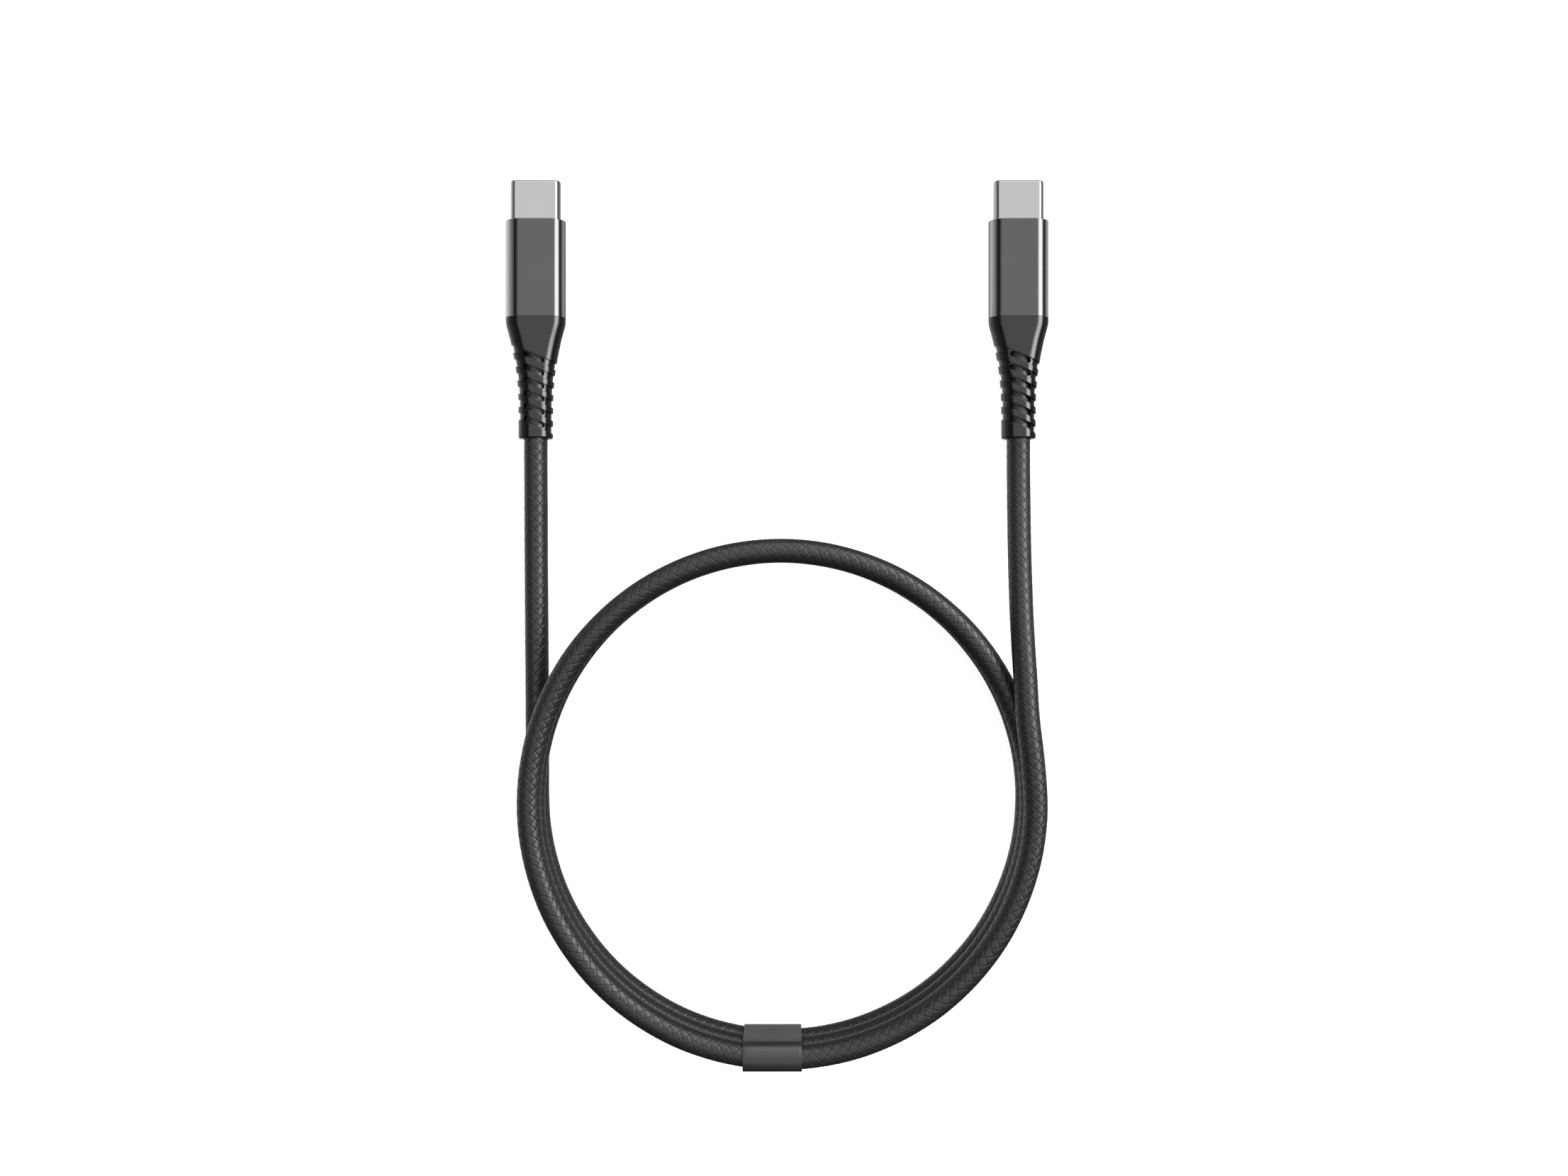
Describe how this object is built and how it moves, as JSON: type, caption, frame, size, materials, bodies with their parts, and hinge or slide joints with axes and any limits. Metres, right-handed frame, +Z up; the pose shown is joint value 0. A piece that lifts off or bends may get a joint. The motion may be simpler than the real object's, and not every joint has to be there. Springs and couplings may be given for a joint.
{
  "type": "charging cable",
  "caption": "Braided charging cable with a flat reversible plug at each end, slotted strain reliefs, wound into a flat round coil and held by a sleeve band.",
  "frame": {"origin": "bottom centre of the box that holds the two plugs, on the surface that the cable lies on", "axes": "+X from the left plug to the right plug, +Y the way both plugs' mouths face, +Z up off the surface"},
  "size_m": [0.09, 0.1446, 0.0119],
  "materials": {
    "plug_steel": "satin nickel-plated steel",
    "collar_aluminium": "glossy dark grey anodised",
    "relief_elastomer": "semi-gloss moulded",
    "braid": "braided yarn, one over one",
    "band": "smooth satin film",
    "insulator_plastic": "fine moulded",
    "contact_gold": "gold plated",
    "spring_steel": "rolled",
    "board_laminate": "solder mask",
    "mould_plastic": "moulded",
    "wire_red": "extruded insulation",
    "wire_white": "extruded insulation",
    "wire_black": "extruded insulation",
    "wire_green": "extruded insulation",
    "wire_blue": "extruded insulation"
  },
  "bodies": {
    "cable": {"left_connector_shell": "plug_steel", "left_front_housing": "insulator_plastic", "left_contact_a1": "contact_gold", "left_contact_a4": "contact_gold", "left_contact_a5": "contact_gold", "left_contact_a6": "contact_gold", "left_contact_a7": "contact_gold", "left_contact_a9": "contact_gold", "left_contact_a12": "contact_gold", "left_contact_b1": "contact_gold", "left_contact_b4": "contact_gold", "left_contact_b5": "contact_gold", "left_contact_b9": "contact_gold", "left_contact_b12": "contact_gold", "left_contact_carrier_upper": "insulator_plastic", "left_contact_carrier_lower": "insulator_plastic", "left_latch_plate": "spring_steel", "left_circuit_board": "board_laminate", "left_power_wire": "wire_red", "left_data_minus_wire": "wire_white", "left_ground_wire": "wire_black", "left_data_plus_wire": "wire_green", "left_signal_wire": "wire_blue", "left_inner_mould": "mould_plastic", "left_crimp_ferrule": "spring_steel", "left_collar": "collar_aluminium", "left_strain_relief": "relief_elastomer", "right_connector_shell": "plug_steel", "right_front_housing": "insulator_plastic", "right_contact_a1": "contact_gold", "right_contact_a4": "contact_gold", "right_contact_a5": "contact_gold", "right_contact_a6": "contact_gold", "right_contact_a7": "contact_gold", "right_contact_a9": "contact_gold", "right_contact_a12": "contact_gold", "right_contact_b1": "contact_gold", "right_contact_b4": "contact_gold", "right_contact_b5": "contact_gold", "right_contact_b9": "contact_gold", "right_contact_b12": "contact_gold", "right_contact_carrier_upper": "insulator_plastic", "right_contact_carrier_lower": "insulator_plastic", "right_latch_plate": "spring_steel", "right_circuit_board": "board_laminate", "right_power_wire": "wire_red", "right_data_minus_wire": "wire_white", "right_ground_wire": "wire_black", "right_data_plus_wire": "wire_green", "right_signal_wire": "wire_blue", "right_inner_mould": "mould_plastic", "right_crimp_ferrule": "spring_steel", "right_collar": "collar_aluminium", "right_strain_relief": "relief_elastomer", "left_lead": "braid", "right_lead": "braid", "wound_cable": "braid"},
    "band": {"cable_band": "band"}
  },
  "joints": [
    {"name": "band_slide", "type": "hinge", "parent": "cable", "child": "band", "pos_m": [0.00085, -0.08059, 0.00595], "axis": [0, 0, 1], "range_deg": [-70, 70]}
  ]
}
